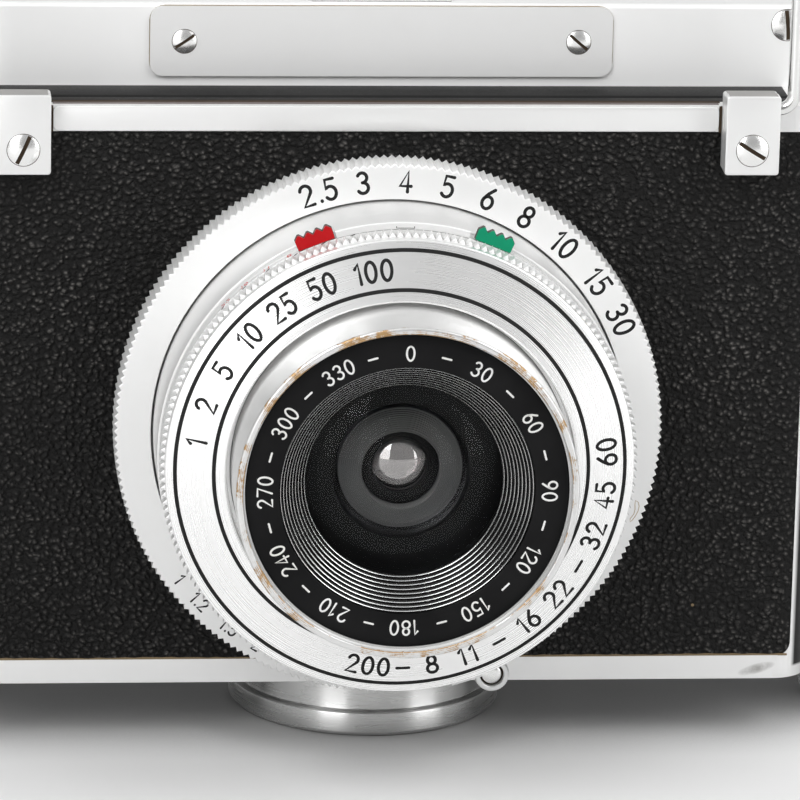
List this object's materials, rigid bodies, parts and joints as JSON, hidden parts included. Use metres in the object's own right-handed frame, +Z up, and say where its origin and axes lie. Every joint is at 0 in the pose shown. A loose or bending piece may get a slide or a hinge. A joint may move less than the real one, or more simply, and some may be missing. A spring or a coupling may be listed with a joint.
{
  "type": "wide-angle camera",
  "caption": "Wide-angle roll-film camera with a leaf-shutter lens in a knurled focusing ring, fold-down wire finder, rear peep sight and hinged back.",
  "frame": {"origin": "centre of the underside of the tripod foot, on the axis of its tapped hole", "axes": "+Z up, lens looks along -Y, +X on the right of someone who faces the lens"},
  "size_m": [0.1908, 0.095, 0.1982],
  "materials": {
    "satin_alloy": "light alloy casting with satin chrome plating",
    "satin_chrome": "satin chrome plating",
    "bright_chrome": "bright chrome plating, worn to brass on the front rim",
    "grained_covering": "fine-grained black covering",
    "black_paint": "matt black paint",
    "black_anodised": "black anodised, satin",
    "brushed_plate": "brushed light grey",
    "steel": "polished steel",
    "wire_nickel": "nickel-plated wire",
    "red_tab": "chromed ring with a red lacquered tab",
    "green_tab": "chromed ring with a green lacquered tab",
    "coated_glass": "polished, coated",
    "red_glass": "clear red",
    "blade_steel": "dark blued steel",
    "spool_plastic": "black moulded",
    "spring_bronze": "phosphor bronze"
  },
  "bodies": {
    "body": {"body_shell": "satin_alloy", "front_covering": "grained_covering", "top_inlay": "grained_covering", "light_cone": "black_paint", "film_gate": "black_paint", "top_housing": "satin_chrome", "nameplate": "brushed_plate", "top_screws": "bright_chrome", "accessory_shoe": "satin_chrome", "peep_bracket": "bright_chrome", "hinge_blocks": "satin_chrome", "hinge_block_screws": "bright_chrome", "tripod_foot": "bright_chrome", "strap_lugs": "satin_chrome", "flash_socket": "satin_chrome", "lens_flange": "satin_chrome", "door_hinge_pin": "steel"},
    "focus": {"focus_ring": "satin_chrome"},
    "lens": {"helicoid_tube": "steel", "shutter_housing": "satin_alloy", "shutter_face": "satin_chrome", "lens_barrel": "bright_chrome", "name_ring": "black_anodised", "front_lenses": "coated_glass", "rear_lenses": "coated_glass", "rear_cell": "black_anodised"},
    "speed": {"speed_ring": "satin_chrome"},
    "aperture": {"aperture_ring": "red_tab"},
    "sync": {"sync_lever": "green_tab"},
    "cocking": {"cocking_lever": "steel"},
    "release": {"release_lever": "steel"},
    "door": {"back_door": "satin_alloy", "back_covering": "grained_covering", "pressure_plate": "black_paint", "pressure_springs": "spring_bronze", "red_window": "red_glass"},
    "latch": {"door_latch": "satin_chrome"},
    "cover": {"window_cover": "satin_chrome"},
    "winder": {"wind_knob": "satin_chrome", "takeup_spool": "spool_plastic"},
    "supply": {"supply_spool": "spool_plastic"},
    "knob_left": {"spool_knob_left": "satin_chrome"},
    "knob_right": {"spool_knob_right": "satin_chrome"},
    "dial": {"film_dial": "satin_chrome"},
    "roller_left": {"film_roller_left": "steel"},
    "roller_right": {"film_roller_right": "steel"},
    "ring_left": {"strap_ring_left": "steel"},
    "ring_right": {"strap_ring_right": "steel"},
    "finder": {"wire_finder": "wire_nickel"},
    "peep": {"peep_sight": "bright_chrome"},
    "iris_1": {"iris_blade_1": "blade_steel"},
    "leaf_1": {"shutter_blade_1": "blade_steel"},
    "iris_2": {"iris_blade_2": "blade_steel"},
    "leaf_2": {"shutter_blade_2": "blade_steel"},
    "iris_3": {"iris_blade_3": "blade_steel"},
    "leaf_3": {"shutter_blade_3": "blade_steel"},
    "iris_4": {"iris_blade_4": "blade_steel"},
    "leaf_4": {"shutter_blade_4": "blade_steel"},
    "iris_5": {"iris_blade_5": "blade_steel"},
    "leaf_5": {"shutter_blade_5": "blade_steel"}
  },
  "joints": [
    {"name": "focus_turn", "type": "hinge", "parent": "body", "child": "focus", "pos_m": [0, -0.0345, 0.0546], "axis": [0, -1, 0], "range_deg": [0, 270]},
    {"name": "lens_slide", "type": "slide", "parent": "body", "child": "lens", "axis": [0, -1, 0], "range_m": [0, 0.0024]},
    {"name": "speed_turn", "type": "hinge", "parent": "lens", "child": "speed", "pos_m": [0, -0.0525, 0.0546], "axis": [0, -1, 0], "range_deg": [-120, 120]},
    {"name": "aperture_turn", "type": "hinge", "parent": "lens", "child": "aperture", "pos_m": [0, -0.0485, 0.0546], "axis": [0, -1, 0], "range_deg": [0, 57]},
    {"name": "sync_turn", "type": "hinge", "parent": "lens", "child": "sync", "pos_m": [0, -0.0505, 0.0546], "axis": [0, -1, 0], "range_deg": [-25, 0]},
    {"name": "cocking_turn", "type": "hinge", "parent": "lens", "child": "cocking", "pos_m": [0, -0.0415, 0.0546], "axis": [0, -1, 0], "range_deg": [0, 50]},
    {"name": "release_turn", "type": "hinge", "parent": "lens", "child": "release", "pos_m": [0, -0.0385, 0.0546], "axis": [0, -1, 0], "range_deg": [-12, 0], "stiffness_Nm_per_rad": 0.02},
    {"name": "iris_1_turn", "type": "hinge", "parent": "lens", "child": "iris_1", "pos_m": [0.00583, -0.04065, 0.05883], "axis": [0, -1, 0], "range_deg": [0, 18.6]},
    {"name": "iris_2_turn", "type": "hinge", "parent": "lens", "child": "iris_2", "pos_m": [-0.00222, -0.04095, 0.06145], "axis": [0, -1, 0], "range_deg": [0, 18.6]},
    {"name": "iris_3_turn", "type": "hinge", "parent": "lens", "child": "iris_3", "pos_m": [-0.0072, -0.04125, 0.0546], "axis": [0, -1, 0], "range_deg": [0, 18.6]},
    {"name": "iris_4_turn", "type": "hinge", "parent": "lens", "child": "iris_4", "pos_m": [-0.00222, -0.04155, 0.04775], "axis": [0, -1, 0], "range_deg": [0, 18.6]},
    {"name": "iris_5_turn", "type": "hinge", "parent": "lens", "child": "iris_5", "pos_m": [0.00583, -0.04185, 0.05037], "axis": [0, -1, 0], "range_deg": [0, 18.6]},
    {"name": "leaf_1_turn", "type": "hinge", "parent": "lens", "child": "leaf_1", "pos_m": [0.0072, -0.04235, 0.0546], "axis": [0, -1, 0], "range_deg": [-27.6, 0]},
    {"name": "leaf_2_turn", "type": "hinge", "parent": "lens", "child": "leaf_2", "pos_m": [0.00222, -0.04265, 0.06145], "axis": [0, -1, 0], "range_deg": [-27.6, 0]},
    {"name": "leaf_3_turn", "type": "hinge", "parent": "lens", "child": "leaf_3", "pos_m": [-0.00583, -0.04295, 0.05883], "axis": [0, -1, 0], "range_deg": [-27.6, 0]},
    {"name": "leaf_4_turn", "type": "hinge", "parent": "lens", "child": "leaf_4", "pos_m": [-0.00583, -0.04325, 0.05037], "axis": [0, -1, 0], "range_deg": [-27.6, 0]},
    {"name": "leaf_5_turn", "type": "hinge", "parent": "lens", "child": "leaf_5", "pos_m": [0.00222, -0.04355, 0.04775], "axis": [0, -1, 0], "range_deg": [-27.6, 0]},
    {"name": "door_swing", "type": "hinge", "parent": "body", "child": "door", "pos_m": [0.093, 0.0136, 0.0546], "axis": [0, 0, -1], "range_deg": [0, 115]},
    {"name": "latch_slide", "type": "slide", "parent": "door", "child": "latch", "axis": [0, 0, 1], "range_m": [-0.004, 0]},
    {"name": "cover_slide", "type": "slide", "parent": "door", "child": "cover", "axis": [1, 0, 0], "range_m": [0, 0.013]},
    {"name": "wind_turn", "type": "hinge", "parent": "body", "child": "winder", "pos_m": [-0.0755, 0, 0.0546], "axis": [0, 0, 1], "continuous": true},
    {"name": "supply_turn", "type": "hinge", "parent": "body", "child": "supply", "pos_m": [0.0755, 0, 0.0546], "axis": [0, 0, 1], "continuous": true},
    {"name": "dial_turn", "type": "hinge", "parent": "body", "child": "dial", "pos_m": [0.0755, 0, 0.1025], "axis": [0, 0, 1], "continuous": true},
    {"name": "knob_left_pull", "type": "slide", "parent": "body", "child": "knob_left", "axis": [0, 0, -1], "range_m": [0, 0.005]},
    {"name": "knob_right_pull", "type": "slide", "parent": "body", "child": "knob_right", "axis": [0, 0, -1], "range_m": [0, 0.005]},
    {"name": "roller_left_turn", "type": "hinge", "parent": "body", "child": "roller_left", "pos_m": [-0.0576, 0.0133, 0.0546], "axis": [0, 0, 1], "continuous": true},
    {"name": "roller_right_turn", "type": "hinge", "parent": "body", "child": "roller_right", "pos_m": [0.0576, 0.0133, 0.0546], "axis": [0, 0, 1], "continuous": true},
    {"name": "ring_left_swing", "type": "hinge", "parent": "body", "child": "ring_left", "pos_m": [-0.0931, 0, 0.0905], "axis": [0, 1, 0], "range_deg": [-5, 150]},
    {"name": "ring_right_swing", "type": "hinge", "parent": "body", "child": "ring_right", "pos_m": [0.0931, 0, 0.0905], "axis": [0, -1, 0], "range_deg": [-5, 150]},
    {"name": "finder_fold", "type": "hinge", "parent": "body", "child": "finder", "pos_m": [0, -0.025, 0.1026], "axis": [1, 0, 0], "range_deg": [0, 180]},
    {"name": "peep_fold", "type": "hinge", "parent": "body", "child": "peep", "pos_m": [0, 0.0112, 0.121], "axis": [0, 1, 0], "range_deg": [0, 90]}
  ],
  "couplings": [
    {"joint": "focus_turn", "follows": "lens_slide", "rad_per_m": 1963},
    {"joint": "iris_1_turn", "follows": "aperture_turn", "ratio": 0.3228},
    {"joint": "iris_2_turn", "follows": "aperture_turn", "ratio": 0.3228},
    {"joint": "iris_3_turn", "follows": "aperture_turn", "ratio": 0.3228},
    {"joint": "iris_4_turn", "follows": "aperture_turn", "ratio": 0.3228},
    {"joint": "iris_5_turn", "follows": "aperture_turn", "ratio": 0.3228},
    {"joint": "leaf_1_turn", "follows": "release_turn", "ratio": 2.275},
    {"joint": "leaf_2_turn", "follows": "release_turn", "ratio": 2.275},
    {"joint": "leaf_3_turn", "follows": "release_turn", "ratio": 2.275},
    {"joint": "leaf_4_turn", "follows": "release_turn", "ratio": 2.275},
    {"joint": "leaf_5_turn", "follows": "release_turn", "ratio": 2.275}
  ]
}
